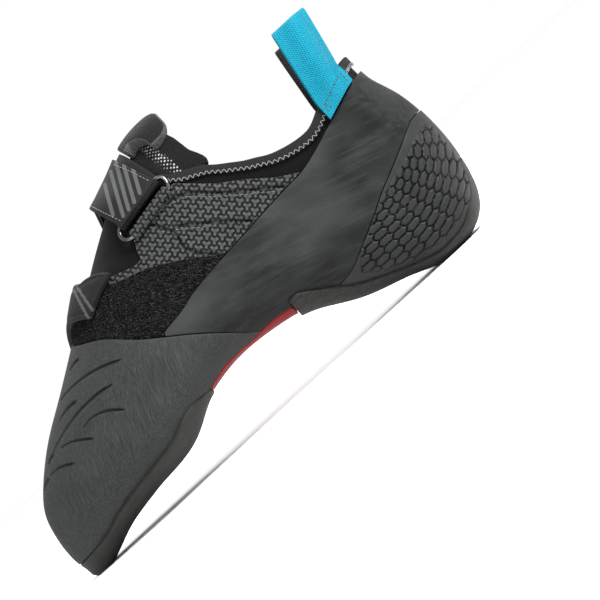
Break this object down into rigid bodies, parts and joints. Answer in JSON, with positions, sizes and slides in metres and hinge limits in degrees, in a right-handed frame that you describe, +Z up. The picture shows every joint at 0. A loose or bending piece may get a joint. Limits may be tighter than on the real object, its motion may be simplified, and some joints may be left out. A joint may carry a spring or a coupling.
{
  "type": "climbing shoe",
  "caption": "Downturned slip-on climbing shoe for the left foot, with a rubber toe, a split sole, a ringed strap closure and two heel pull loops.",
  "frame": {"origin": "middle of the floor under the shoe, centred on its bounding box", "axes": "+Z up, toe to -X, heel to +X, outer side to -Y"},
  "size_m": [0.2482, 0.0878, 0.1357],
  "materials": {
    "stretch_fabric": "black stretch knit, matt",
    "tongue_mesh": "black spacer mesh with pale dots",
    "tab_ribbon": "black woven ribbon",
    "footbed": "grey suede lining",
    "sole_rubber": "dark grey-green rubber, scuffed, semi-matt",
    "heel_sole_rubber": "dark rubber, semi-matt",
    "plate_red": "red moulded plate, satin",
    "toe_rubber": "buffed grey-green rubber, matt and scratched",
    "rand_rubber": "smooth dark grey-green rubber, satin",
    "cup_rubber": "moulded rubber with a cell pattern, satin",
    "quarter_fabric": "grey coated microfibre with a knobbly relief",
    "loop_pile": "fuzzy loop pile, matt",
    "binding_fabric": "black edge binding with a pale zigzag stitch",
    "strap_fabric": "black microfibre, matt",
    "webbing_blue": "blue woven webbing",
    "webbing_black": "black woven webbing",
    "ring_steel": "bright drawn wire"
  },
  "bodies": {
    "root": {"upper": "stretch_fabric", "tongue": "tongue_mesh", "tongue_tab": "tab_ribbon", "insole": "footbed", "outsole": "sole_rubber", "heel_sole": "heel_sole_rubber", "arch_plate": "plate_red", "toe_rubber": "toe_rubber", "side_rand": "rand_rubber", "heel_cup": "cup_rubber", "outer_quarter": "quarter_fabric", "inner_quarter": "quarter_fabric", "loop_patch": "loop_pile", "collar_binding": "binding_fabric", "instep_strap": "strap_fabric", "forefoot_strap": "strap_fabric", "outer_pull_loop": "webbing_blue", "inner_pull_loop": "webbing_black", "ring": "ring_steel"}
  },
  "joints": []
}
